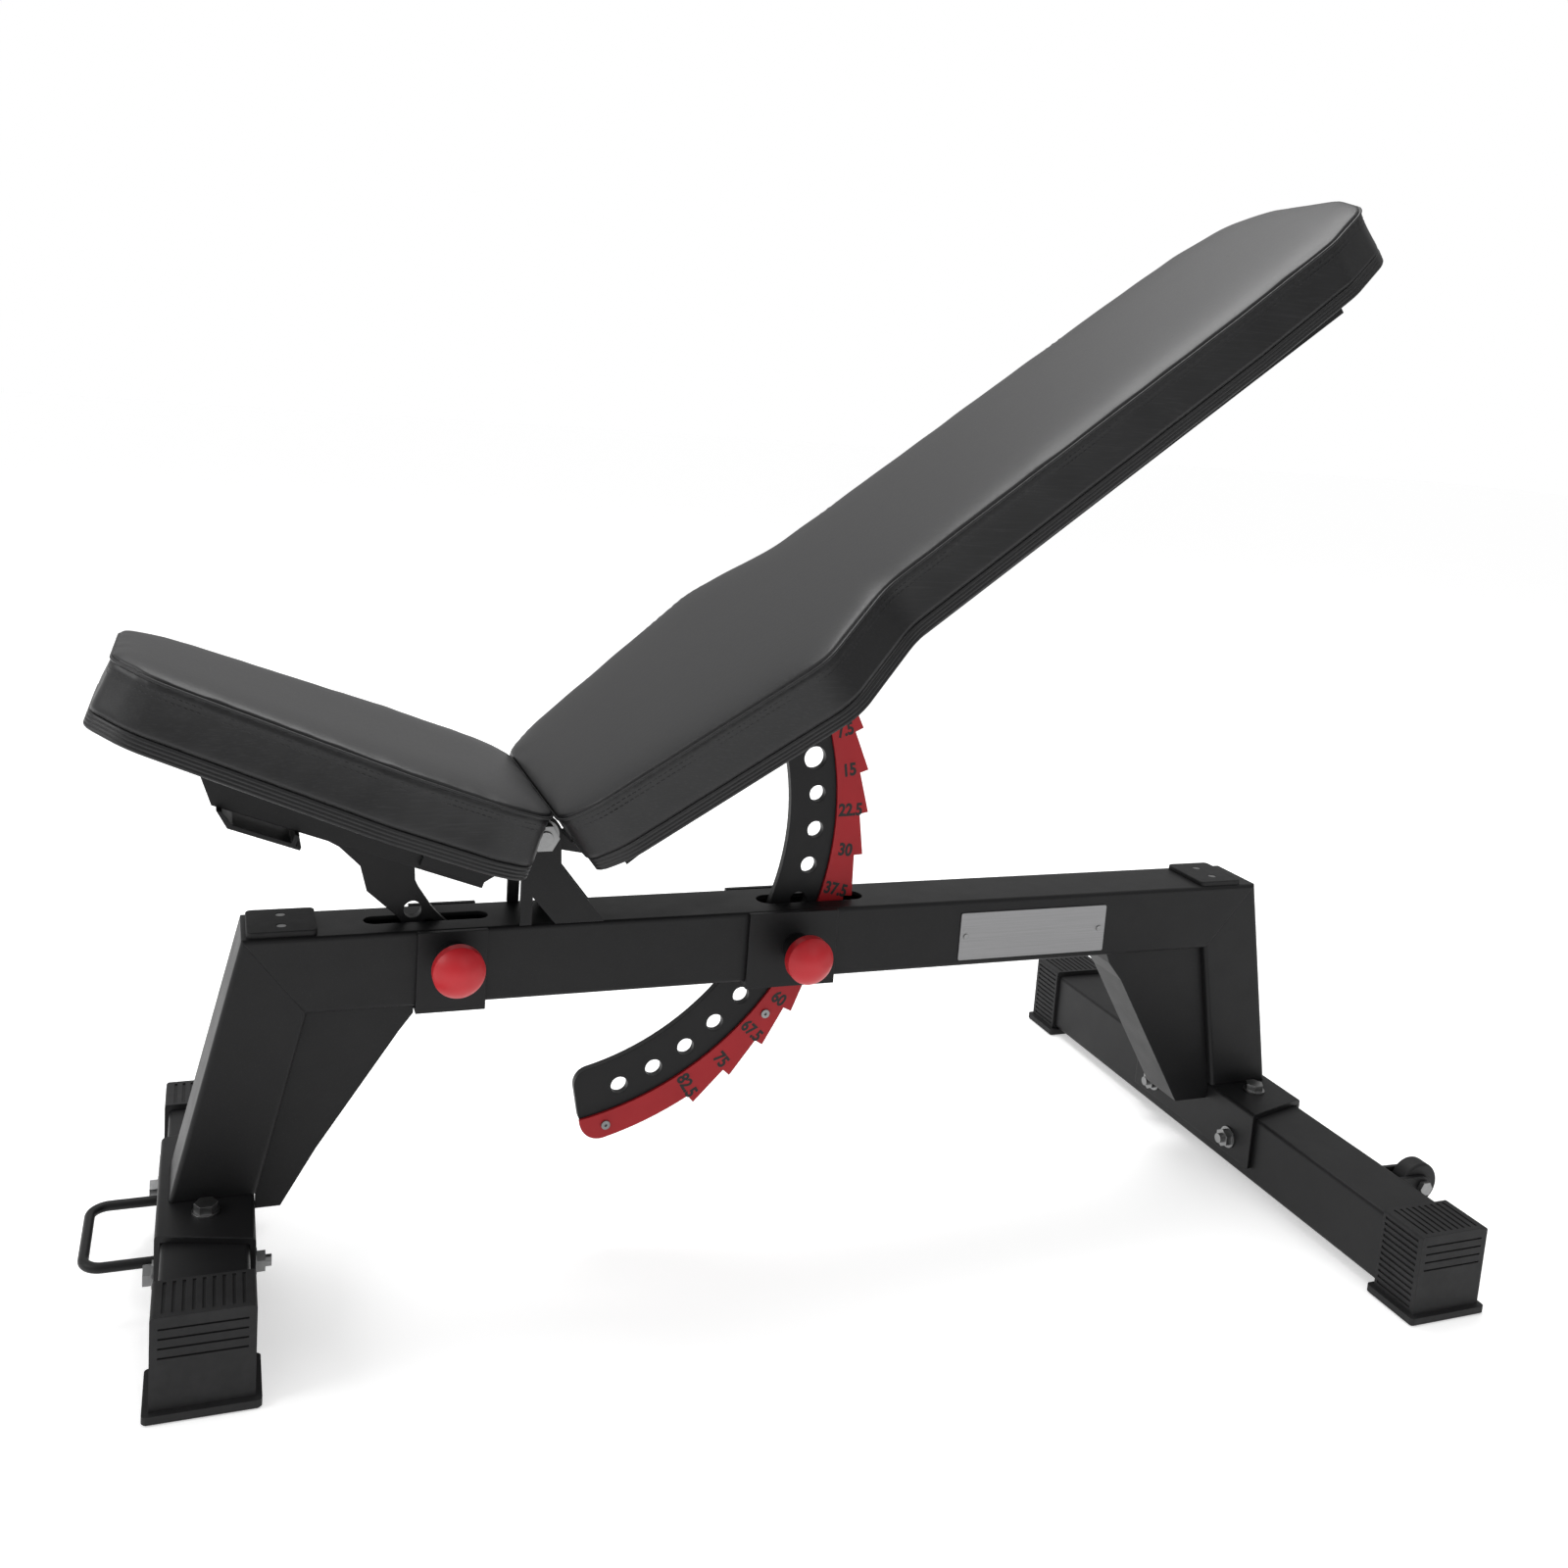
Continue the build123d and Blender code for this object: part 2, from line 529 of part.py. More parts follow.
# ---------------------------------------------------------------- hinge on the beam
cheek_low, cheek_high, cheek_r = 29.5, 34.5, 17.6      # |y| of both faces, radius at the pivot
pivot_bolt_half, washer_depth, pivot_washer_r, nut_depth, nut_r = 50.0, 2.0, 15.0, 11.0, 11.5
cheek_outline = [(263, beam_top), (274, beam_top), (274, 345), (296, beam_top), (342, beam_top),
                 (299, 374), (297.5, 400), (262.5, 400)]
for side_name, side in (("near", -1), ("far", 1)):
    y_inner = side * cheek_low
    with BuildPart() as cheek:
        with BuildSketch(world_side.offset(-y_inner)):
            Polygon(*[(front_x + x, z) for x, z in cheek_outline], align=None)
            with Locations((pivot_x, pivot_z)):
                Circle(cheek_r)
                Circle(bolt_r, mode=Mode.SUBTRACT)
        extrude(amount=-side * (cheek_high - cheek_low))
    write(cheek, f"hinge_cheek_{side_name}")

with BuildPart() as pivot_bolt:
    round_bar(pivot_x, pivot_z, -pivot_bolt_half, 2 * pivot_bolt_half, bolt_r)
write(pivot_bolt, "pivot_bolt")

with BuildPart() as pivot_nuts:
    for side in (-1, 1):
        with BuildSketch(world_side.offset(-side * cheek_high)):
            with Locations((pivot_x, pivot_z)):
                Circle(pivot_washer_r)
                Circle(bolt_r, mode=Mode.SUBTRACT)
        extrude(amount=-side * washer_depth)
        with BuildSketch(world_side.offset(-side * (cheek_high + washer_depth))):
            with Locations((pivot_x, pivot_z)):
                RegularPolygon(nut_r, 6, major_radius=False)
                Circle(bolt_r, mode=Mode.SUBTRACT)
        extrude(amount=-side * nut_depth)
write(pivot_nuts, "pivot_nuts")

# ---------------------------------------------------------------- backrest
back_outline = [(20, 120), (50, 144), (272, 198), (366, 144), (800, 140), (930, 132), (996, 108), (1020, 50)]
back_rounding = [28, 60, 45, 60, 80, 60, 40, 26]
back_tube_start, back_tube_end, back_tube_half = 45.0, 988.0, 25.0
barrel_r, bush_r, bush_length, bush_end = 15.0, 10.0, 17.5, 22.5
arm_plate, barrel_length = 6.0, 31.0
back_arm = [(14, 5), (17, -28), (44, -33.5), (84, -33.5), (84, -74.5), (46, -74.5), (-8, -12.5)]
relief_outline = [(0, 15), (20, 15), (49, 38), (49, 60), (0, 60)]
box_wall, box_lead, box_end = 3.0, 9.0, 4.0     # pad tubes: wall, open end, closed end


def pad_sketch(points, rounding):
    """The pad's outline: one half as given, the other mirrored, with rounded corners."""
    ring = points + [(x, -y) for x, y in reversed(points)]
    with BuildLine() as edge:
        FilletPolyline(*ring, radius=rounding + rounding[::-1], close=True)
    make_face(edge.edges())


def pad_layer(plane, points, rounding, low, high):
    """One layer of a pad between two heights above the pivot line."""
    with BuildPart() as layer:
        with BuildSketch(plane.offset(low)):
            pad_sketch(points, rounding)
        extrude(amount=high - low)
    return layer


def relief(side):
    """The sloping cut that lets the two pads fold towards each other."""
    with BuildSketch(side) as wedge:
        Polygon(*relief_outline, align=None)
    extrude(wedge.sketch, amount=rear_half, both=True, mode=Mode.SUBTRACT)


with BuildPart() as back_pad:
    add(pad_layer(back_flat, back_outline, back_rounding, pad_low, pad_high).part)
    relief(back_side)
write(back_pad, "back_pad")
write(pad_layer(back_flat, back_outline, back_rounding, board_low, pad_low), "back_board")


def box_tube(side, start, end, half, low, high, end_cut=0.0):
    """A rectangular tube under a pad; its far end may be cut back at the bottom."""
    with BuildPart() as piece:
        with BuildSketch(side):
            Polygon((start, low), (start, high), (end, high), (end - end_cut, low), align=None)
        extrude(amount=half, both=True)
        with BuildSketch(side):
            Polygon((start - box_lead, low + box_wall), (start - box_lead, high - box_wall),
                    (end - box_end, high - box_wall), (end - end_cut - box_end, low + box_wall),
                    align=None)
        extrude(amount=half - box_wall, both=True, mode=Mode.SUBTRACT)
    return piece


write(box_tube(back_side, back_tube_start, back_tube_end, back_tube_half, back_tube_low, plate_low),
      "back_frame_tube")

with BuildPart() as back_hinge_arms:
    for y in (-barrel_length / 2, barrel_length / 2 + arm_plate):
        with BuildSketch(on_y(back_side, y)):
            Polygon(*back_arm, align=None)
            Circle(barrel_r)
            Circle(bush_r, mode=Mode.SUBTRACT)
        extrude(amount=arm_plate)
write(back_hinge_arms, "back_hinge_arms")

with BuildPart() as back_barrel:
    with BuildSketch(on_y(back_side, barrel_length / 2)):
        Circle(barrel_r)
        Circle(bush_r, mode=Mode.SUBTRACT)
    extrude(amount=barrel_length)
write(back_barrel, "back_hinge_barrel")

with BuildPart() as back_bushes:
    for y in (bush_end, bush_length - bush_end):
        with BuildSketch(on_y(back_side, y)):
            Circle(bush_r)
            Circle(bolt_r + running, mode=Mode.SUBTRACT)
        extrude(amount=bush_length)
write(back_bushes, "back_hinge_bushes")


cross_plate_width, cross_plate_round = 40.0, 4.0
pad_screw_r, pad_screw_head = 6.5, 5.0


def cross_plates(flat, places, half_width, label):
    """Flat bars across a pad frame, which the pad board is screwed to."""
    with BuildPart() as piece:
        with BuildSketch(flat.offset(plate_low)):
            with Locations(*[(a, 0) for a in places]):
                RectangleRounded(cross_plate_width, 2 * half_width, cross_plate_round)
        extrude(amount=board_low - plate_low)
    write(piece, label)


def pad_screws(flat, places, y_place, label):
    """Hexagon screws under the cross plates."""
    with BuildPart() as piece:
        for a in places:
            for y in (-y_place, y_place):
                with BuildSketch(flat.offset(plate_low)):
                    with Locations((a, y)):
                        RegularPolygon(pad_screw_r, 6, major_radius=False)
                extrude(amount=-pad_screw_head)
    write(piece, label)


back_plates, seat_plates = [100, 470, 880], [90, 255]      # distances from the pivot
back_plate_half, back_screw_y, seat_plate_half, seat_screw_y = 90.0, 74.0, 62.0, 48.0
cross_plates(back_flat, back_plates, back_plate_half, "back_cross_plates")
pad_screws(back_flat, back_plates, back_screw_y, "back_pad_screws")

# ---------------------------------------------------------------- quadrant of the backrest
band_in, band_out, red_in, tooth_root, tooth_tip = 253.0, 321.0, 301.0, 326.0, 335.0
band_top, band_end = -8.0, back_pin_angle - back_top_setting - 9.0
step_lead, step_rake = 14.4, 0.3        # degrees: first step of the scale, slope of a step
quadrant_half, scale_depth = 4.0, 3.0
inner_corner, outer_corner, scale_corner, flat_hole_r = 16.0, 24.0, 20.0, 11.5
scale_hole_r, scale_head_r, scale_socket, scale_head = 2.6, 4.4, 1.6, 1.8
hole_count = int(back_top_setting / notch) + 1


def polar(radius, angle):
    return (radius * cos(radians(angle)), radius * sin(radians(angle)))


def band(inner, outer, start, end):
    """A sector band between two radii and two angles."""
    with BuildLine() as edge:
        arc_out = CenterArc((0, 0), outer, end, start - end)
        arc_in = CenterArc((0, 0), inner, end, start - end)
        Line(arc_out @ 0, arc_in @ 0)
        Line(arc_out @ 1, arc_in @ 1)
    make_face(edge.edges())


def below_tube():
    """Keeps only what hangs below the backrest's tube."""
    with Locations((0, back_tube_low + tooth_tip)):
        Rectangle(4 * tooth_tip, 2 * tooth_tip, mode=Mode.SUBTRACT)


def round_off(face, radius_angle, size):
    """Rounds the corner of a flat outline that lies nearest to a polar point."""
    x, y = polar(*radius_angle)
    nearest = sorted(face.vertices(), key=lambda v: (v.X - x) ** 2 + (v.Y - y) ** 2)[0]
    fillet(nearest, size)


with BuildPart() as quadrant_plate:
    with BuildSketch(on_y(back_side, quadrant_half)) as band_face:
        band(band_in, band_out, band_top, band_end)
        below_tube()
        round_off(band_face, (band_in, band_end), inner_corner)
        round_off(band_face, (band_out, band_end), outer_corner)
        for k in range(hole_count):
            with Locations(polar(hole_radius_back, back_pin_angle - notch * k)):
                Circle(flat_hole_r if k == 0 else pin_hole_r, mode=Mode.SUBTRACT)
    extrude(amount=2 * quadrant_half)
write(quadrant_plate, "quadrant_plate")

red_top, red_bottom = -16.0, band_end
red_screws = [-57.0, -77.5, band_end + 4.5]
with BuildPart() as angle_scale:
    with BuildSketch(on_y(back_side, -quadrant_half)) as scale_face:
        with BuildLine():
            points = [polar(red_in, red_top), polar(tooth_root + 4, red_top)]
            for k in range(1, hole_count):
                step = -step_lead - notch * k
                points += [polar(tooth_tip, step), polar(tooth_root, step - step_rake)]
            Polyline(*points)
            tail = CenterArc((0, 0), tooth_root, red_bottom, step - step_rake - red_bottom)
            inner_arc = CenterArc((0, 0), red_in, red_bottom, red_top - red_bottom)
            Line(tail @ 0, inner_arc @ 0)
        make_face()
        below_tube()
        round_off(scale_face, (tooth_root, red_bottom), scale_corner)
        for angle in red_screws:
            with Locations(polar((red_in + tooth_root) / 2, angle)):
                Circle(scale_hole_r, mode=Mode.SUBTRACT)
    extrude(amount=scale_depth)
write(angle_scale, "angle_scale")

with BuildPart() as scale_screws:
    for angle in red_screws:
        with BuildSketch(on_y(back_side, -quadrant_half)):
            with Locations(polar((red_in + tooth_root) / 2, angle)):
                Circle(scale_hole_r)
        extrude(amount=scale_depth)
        with BuildSketch(on_y(back_side, -quadrant_half - scale_depth)):
            with Locations(polar((red_in + tooth_root) / 2, angle)):
                Circle(scale_head_r)
                RegularPolygon(scale_socket, 6, mode=Mode.SUBTRACT)
        extrude(amount=scale_head)
write(scale_screws, "scale_screws")

# ---------------------------------------------------------------- seat
seat_outline = [(20, 116), (60, 130), (150, 130), (360, 92), (394, 62)]
seat_rounding = [30, 60, 120, 60, 24]
seat_tube_start, seat_tube_end, seat_tube_half, seat_tube_cut = 30.0, 306.0, 23.0, 30.0
seat_arm_in, seat_arm_plate, seat_arm_r = 23.0, 5.0, 14.0
seat_arm = [(13, 5), (17, -27.5), (34, -33), (92, -33), (92, -62), (34, -62), (-8, -11.5)]

with BuildPart() as seat_pad:
    add(pad_layer(seat_flat, seat_outline, seat_rounding, pad_low, pad_high).part)
    relief(seat_side)
write(seat_pad, "seat_pad")
write(pad_layer(seat_flat, seat_outline, seat_rounding, board_low, pad_low), "seat_board")
write(box_tube(seat_side, seat_tube_start, seat_tube_end, seat_tube_half, seat_tube_low, plate_low,
               seat_tube_cut),
      "seat_frame_tube")
cross_plates(seat_flat, seat_plates, seat_plate_half, "seat_cross_plates")
pad_screws(seat_flat, seat_plates, seat_screw_y, "seat_pad_screws")

with BuildPart() as seat_hinge_arms:
    for y in (-seat_arm_in - seat_arm_plate, seat_arm_in):
        with BuildSketch(on_y(seat_side, y)):
            Polygon(*seat_arm, align=None)
            Circle(seat_arm_r)
            Circle(bolt_r + running, mode=Mode.SUBTRACT)
        extrude(amount=seat_arm_plate)
write(seat_hinge_arms, "seat_hinge_arms")

lip_start, lip_end, lip_plate, lip_half = 200.0, 258.0, 4.0, 34.0
lip_hook, lip_turn, lip_rise, lip_foot, lip_back = 3.0, 5.0, 14.0, 9.0, 3.0
with BuildPart() as seat_grip:
    with BuildSketch(on_y(seat_side, -lip_half)):
        Polygon((lip_start, seat_tube_low), (lip_start, lip_low + lip_hook),
                (lip_start - lip_turn, lip_low + lip_hook), (lip_start - lip_turn, lip_low),
                (lip_end, lip_low), (lip_end + lip_rise, seat_tube_low),
                (lip_end + lip_foot, seat_tube_low), (lip_end - lip_back, lip_low + lip_plate),
                (lip_start + lip_plate, lip_low + lip_plate), (lip_start + lip_plate, seat_tube_low),
                align=None)
    extrude(amount=2 * lip_half)
write(seat_grip, "seat_grip")

seat_hole_angle = degrees(atan2(pivot_z - seat_pin_z, pivot_x - seat_pin_x)) + seat_rest
ladder_half, ladder_in, ladder_out, ladder_clear = 4.0, 118.0, 147.0, 0.5
ladder_start, ladder_end = seat_hole_angle + 6.5, seat_hole_angle - 42
ladder_front = [(92, seat_tube_low), (198, seat_tube_low)]
ladder_neck = [(160, -73), (136, -84), (122, -104)]
ladder_join_out, ladder_join_in, ladder_heel = seat_hole_angle - 21, seat_hole_angle - 16, (84, -84)
seat_settings = [0, 10, 20]
with BuildPart() as seat_ladder:
    with BuildSketch(on_y(seat_side, -ladder_half)):
        band(ladder_in, ladder_out, -ladder_end, -ladder_start)
        Polygon(*ladder_front, *ladder_neck, polar(ladder_out, -ladder_join_out),
                polar(ladder_in, -ladder_join_in), ladder_heel, align=None)
        with Locations((0, seat_tube_low + 2 * ladder_out)):
            Rectangle(4 * ladder_out, 4 * ladder_out, mode=Mode.SUBTRACT)
        for setting in seat_settings:
            angle = -(seat_hole_angle - seat_rest + setting)
            with Locations(polar(seat_pin_radius, angle)):
                Circle(pin_hole_r - ladder_clear, mode=Mode.SUBTRACT)
    extrude(amount=2 * ladder_half)
write(seat_ladder, "seat_ladder")
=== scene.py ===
import json
import math

import bmesh
import bpy
import numpy as np
from mathutils import Matrix, Vector


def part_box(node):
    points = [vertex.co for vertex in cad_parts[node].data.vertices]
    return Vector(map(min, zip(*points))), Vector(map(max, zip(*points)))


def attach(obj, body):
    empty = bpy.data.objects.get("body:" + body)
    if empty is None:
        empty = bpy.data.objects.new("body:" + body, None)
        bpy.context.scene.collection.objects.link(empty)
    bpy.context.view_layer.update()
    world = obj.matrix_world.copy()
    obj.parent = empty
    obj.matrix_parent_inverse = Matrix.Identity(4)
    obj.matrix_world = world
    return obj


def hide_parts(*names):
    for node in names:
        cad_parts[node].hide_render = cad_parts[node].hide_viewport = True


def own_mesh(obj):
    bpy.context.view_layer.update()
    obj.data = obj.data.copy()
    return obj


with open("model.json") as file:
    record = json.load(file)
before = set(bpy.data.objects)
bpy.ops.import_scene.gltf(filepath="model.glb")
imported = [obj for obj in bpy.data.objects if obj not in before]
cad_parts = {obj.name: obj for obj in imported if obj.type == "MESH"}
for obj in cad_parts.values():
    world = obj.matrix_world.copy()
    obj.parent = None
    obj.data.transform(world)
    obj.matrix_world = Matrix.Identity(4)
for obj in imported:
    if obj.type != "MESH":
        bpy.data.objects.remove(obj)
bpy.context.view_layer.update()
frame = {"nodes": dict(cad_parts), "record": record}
nodes = frame["nodes"]
scene = bpy.context.scene

# ------------------------------------------------------------------ camera
CAM_AT = (-0.5428, -1.3185, 0.8052)
CAM_YAW, CAM_PITCH, CAM_ROLL = 0.3636, -0.1407, 0.0725
CAM_LENS = 34.03
CAM_SHIFT = (0.0078, -0.1084)


def place_camera():
    cy, sy = math.cos(CAM_YAW), math.sin(CAM_YAW)
    cp, sp = math.cos(CAM_PITCH), math.sin(CAM_PITCH)
    forward = Vector((sy * cp, cy * cp, sp))
    level = Vector((cy, -sy, 0.0))
    above = level.cross(forward)
    right = math.cos(CAM_ROLL) * level + math.sin(CAM_ROLL) * above
    up = -math.sin(CAM_ROLL) * level + math.cos(CAM_ROLL) * above
    data = bpy.data.cameras.new("camera")
    data.lens = CAM_LENS
    data.shift_x, data.shift_y = CAM_SHIFT
    data.clip_end = 100
    cam = bpy.data.objects.new("camera", data)
    scene.collection.objects.link(cam)
    turn = Matrix((right, up, -forward)).transposed().to_4x4()
    cam.matrix_world = Matrix.Translation(CAM_AT) @ turn
    bpy.context.scene.camera = cam


place_camera()

# ------------------------------------------------------------------ frames
low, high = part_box("pivot_bolt")
PX, PZ = (low[0] + high[0]) / 2, (low[2] + high[2]) / 2
BACK_TILT, SEAT_TILT = math.radians(37.5), math.radians(20.0)
Y_AXIS = np.array((0.0, 1.0, 0.0))
HINGE = np.array((PX, 0.0, PZ))


class PadFrame:
    """Coordinates of a pad: a runs away from the hinge, y is world Y, n is out of the pad."""

    def __init__(self, body, along, up):
        self.body, self.along, self.up = body, np.array(along), np.array(up)

    def at(self, a, y, n):
        a, y, n = (np.asarray(v, float)[..., None] for v in (a, y, n))
        return HINGE + a * self.along + y * Y_AXIS + n * self.up


BACK = PadFrame("backrest", (math.cos(BACK_TILT), 0, math.sin(BACK_TILT)),
                (-math.sin(BACK_TILT), 0, math.cos(BACK_TILT)))
SEAT = PadFrame("seat", (-math.cos(SEAT_TILT), 0, math.sin(SEAT_TILT)),
                (math.sin(SEAT_TILT), 0, math.cos(SEAT_TILT)))


# ------------------------------------------------------------------ materials
def srgb(r, g, b):
    def lin(c):
        c /= 255.0
        return c / 12.92 if c <= 0.04045 else ((c + 0.055) / 1.055) ** 2.4
    return (lin(r), lin(g), lin(b), 1.0)


class Nodes:
    """A short way to write a material's nodes."""

    def __init__(self, name):
        self.material = bpy.data.materials.new(name)
        self.material.use_nodes = True
        self.tree = self.material.node_tree
        self.tree.nodes.clear()
        self.out = self.add("ShaderNodeOutputMaterial")
        self.shader = self.add("ShaderNodeBsdfPrincipled")
        self.link(self.shader.outputs[0], self.out.inputs[0])
        self.place = self.add("ShaderNodeTexCoord").outputs["Object"]

    def add(self, kind, **values):
        node = self.tree.nodes.new(kind)
        for key, value in values.items():
            setattr(node, key, value)
        return node

    def link(self, a, b):
        self.tree.links.new(a, b)

    def stretched(self, scale, turn=(0, 0, 0)):
        node = self.add("ShaderNodeMapping")
        node.inputs["Rotation"].default_value = turn
        node.inputs["Scale"].default_value = scale
        self.link(self.place, node.inputs["Vector"])
        return node.outputs[0]

    def noise(self, scale, detail=3.0, rough=0.55, vector=None):
        node = self.add("ShaderNodeTexNoise")
        node.inputs["Scale"].default_value = scale
        node.inputs["Detail"].default_value = detail
        node.inputs["Roughness"].default_value = rough
        self.link(vector or self.place, node.inputs["Vector"])
        return node.outputs["Fac"]

    def ramp(self, value, low, high, a=(0, 0, 0, 1), b=(1, 1, 1, 1)):
        node = self.add("ShaderNodeValToRGB")
        node.color_ramp.elements[0].position, node.color_ramp.elements[0].color = low, a
        node.color_ramp.elements[1].position, node.color_ramp.elements[1].color = high, b
        self.link(value, node.inputs[0])
        return node.outputs[0]

    def mix(self, fac, a, b):
        node = self.add("ShaderNodeMix", data_type="RGBA")
        for socket, value in ((node.inputs[0], fac), (node.inputs[6], a), (node.inputs[7], b)):
            if isinstance(value, (tuple, float, int)):
                socket.default_value = value
            else:
                self.link(value, socket)
        return node.outputs[2]

    def math(self, operation, a, b):
        node = self.add("ShaderNodeMath", operation=operation)
        for socket, value in zip(node.inputs, (a, b)):
            if isinstance(value, (float, int)):
                socket.default_value = value
            else:
                self.link(value, socket)
        return node.outputs[0]

    def spread(self, value, low, high):
        node = self.add("ShaderNodeMapRange")
        node.inputs["To Min"].default_value, node.inputs["To Max"].default_value = low, high
        self.link(value, node.inputs["Value"])
        return node.outputs[0]

    def bump(self, height, distance, strength=1.0, under=None):
        node = self.add("ShaderNodeBump")
        node.inputs["Strength"].default_value = strength
        node.inputs["Distance"].default_value = distance
        self.link(height, node.inputs["Height"])
        if under is not None:
            self.link(under, node.inputs["Normal"])
        return node.outputs[0]

    def bevel(self, radius):
        node = self.add("ShaderNodeBevel", samples=4)
        node.inputs["Radius"].default_value = radius
        return node.outputs[0]

    def edge(self, bevelled):
        """1 on edges, 0 on faces: how far the bevelled normal leaves the real one."""
        flat = self.add("ShaderNodeNewGeometry").outputs["Normal"]
        dot = self.add("ShaderNodeVectorMath", operation="DOT_PRODUCT")
        self.link(bevelled, dot.inputs[0])
        self.link(flat, dot.inputs[1])
        return self.ramp(dot.outputs["Value"], 0.90, 0.995, (1, 1, 1, 1), (0, 0, 0, 1))

    def set(self, **values):
        for key, value in values.items():
            socket = self.shader.inputs[key.replace("_", " ")]
            if isinstance(value, (float, int, tuple)):
                socket.default_value = value
            else:
                self.link(value, socket)
        return self.material


def powder_coat():
    m = Nodes("powder_coat")
    round_edge = m.bevel(0.0016)
    worn = m.math("MULTIPLY", m.edge(round_edge), m.ramp(m.noise(60, 4), 0.35, 0.75))
    cloudy = m.mix(m.noise(9, 3), srgb(19, 19, 20), srgb(25, 25, 26))
    speck = m.mix(m.ramp(m.noise(1500, 2), 0.62, 0.72), cloudy, srgb(36, 36, 37))
    colour = m.mix(m.math("MULTIPLY", worn, 0.5), speck, srgb(70, 70, 72))
    grain = m.bump(m.noise(950, 2, 0.6), 0.00012, 0.55, round_edge)
    normal = m.bump(m.noise(260, 2), 0.00015, 0.25, grain)
    return m.set(Base_Color=colour, Roughness=m.spread(m.noise(30, 3), 0.40, 0.54), Normal=normal,
                 Specular_IOR_Level=0.24)


def vinyl(name, turn, dark=(20, 20, 21), light=(27, 27, 28)):
    m = Nodes(name)
    lengthwise = m.stretched((14, 900, 900), turn)
    strokes = m.noise(1.0, 4, 0.6, lengthwise)
    long_strokes = m.noise(1.0, 2, 0.5, m.stretched((3, 240, 240), turn))
    pebble = m.noise(1100, 2, 0.6)
    patches = m.noise(7, 3)
    colour = m.mix(patches, srgb(*dark), srgb(*light))
    colour = m.mix(m.ramp(strokes, 0.5, 0.75), colour, srgb(*(c + 10 for c in light)))
    normal = m.bump(strokes, 0.00018, 0.35)
    normal = m.bump(long_strokes, 0.0002, 0.3, normal)
    normal = m.bump(pebble, 0.00006, 0.35, normal)
    rough = m.math("ADD", m.spread(strokes, 0.34, 0.50), m.spread(patches, -0.04, 0.05))
    return m.set(Base_Color=colour, Roughness=rough, Normal=normal, Specular_IOR_Level=0.36,
                 Coat_Weight=0.06, Coat_Roughness=0.3)


def thread():
    m = Nodes("thread")
    return m.set(Base_Color=m.mix(m.noise(900, 2), srgb(20, 20, 21), srgb(38, 38, 40)), Roughness=0.65,
                 Normal=m.bump(m.noise(3000, 2), 0.0001, 0.6))


def rubber(name, dark, light, rough):
    m = Nodes(name)
    soft = m.bevel(0.0008)
    dusty = m.ramp(m.noise(24, 4, 0.65), 0.45, 0.8)
    colour = m.mix(dusty, srgb(*dark), srgb(*light))
    return m.set(Base_Color=colour, Roughness=m.spread(m.noise(120, 3), rough - 0.06, rough + 0.08),
                 Normal=m.bump(m.noise(1300, 3, 0.6), 0.00012, 0.5, soft), Specular_IOR_Level=0.35)


def red_plastic():
    m = Nodes("red_plastic")
    colour = m.mix(m.noise(40, 3), srgb(176, 22, 32), srgb(196, 30, 40))
    return m.set(Base_Color=colour, Roughness=m.spread(m.noise(200, 3), 0.36, 0.5),
                 Normal=m.bump(m.noise(900, 3), 0.00008, 0.4, m.bevel(0.0008)), Specular_IOR_Level=0.45)


def red_paint():
    m = Nodes("red_paint")
    round_edge = m.bevel(0.0007)
    colour = m.mix(m.noise(25, 3), srgb(150, 18, 26), srgb(168, 24, 32))
    chipped = m.math("MULTIPLY", m.edge(round_edge), m.ramp(m.noise(320, 3), 0.55, 0.75))
    colour = m.mix(m.math("MULTIPLY", chipped, 0.6), colour, srgb(90, 20, 24))
    return m.set(Base_Color=colour, Roughness=m.spread(m.noise(90, 3), 0.48, 0.6),
                 Normal=m.bump(m.noise(1000, 2), 0.0001, 0.35, round_edge), Specular_IOR_Level=0.35)


def brushed_plate():
    m = Nodes("brushed_plate")
    strokes = m.noise(1.0, 4, 0.7, m.stretched((12, 2500, 2500)))
    colour = m.mix(strokes, srgb(118, 118, 119), srgb(160, 160, 161))
    return m.set(Base_Color=colour, Metallic=0.9, Roughness=m.spread(strokes, 0.38, 0.52),
                 Normal=m.bump(strokes, 0.00008, 0.35, m.bevel(0.0004)), Anisotropic=0.5)


def metal(name, dark, light, rough, scale=60):
    m = Nodes(name)
    stained = m.noise(scale, 4, 0.6)
    colour = m.mix(stained, srgb(*dark), srgb(*light))
    return m.set(Base_Color=colour, Metallic=1.0, Roughness=m.spread(stained, rough - 0.06, rough + 0.1),
                 Normal=m.bump(m.noise(1400, 2), 0.00006, 0.4, m.bevel(0.0005)))


def ink():
    m = Nodes("number_ink")
    return m.set(Base_Color=m.mix(m.noise(400, 3), srgb(12, 6, 7), srgb(22, 9, 10)), Roughness=0.6,
                 Normal=m.bump(m.noise(1500, 2), 0.00005, 0.3))


BACK_TURN, SEAT_TURN = (0, BACK_TILT, 0), (0, -SEAT_TILT, 0)
finish = {
    "black_powder_coat": powder_coat(),
    "rubber": rubber("cap_rubber", (24, 24, 25), (36, 36, 37), 0.66),
    "wheel_rubber": rubber("wheel_rubber", (20, 20, 21), (30, 30, 31), 0.6),
    "red_plastic": red_plastic(),
    "red_paint": red_paint(),
    "brushed_plate": brushed_plate(),
    "bronze": metal("bronze", (150, 110, 60), (190, 145, 85), 0.38),
    "zinc_steel": metal("zinc_steel", (112, 113, 115), (158, 158, 157), 0.34),
}
BACK_VINYL = vinyl("back_vinyl", BACK_TURN)
SEAT_VINYL = vinyl("seat_vinyl", SEAT_TURN)
BACK_COVER = vinyl("back_cover", BACK_TURN, (18, 18, 19), (25, 25, 26))
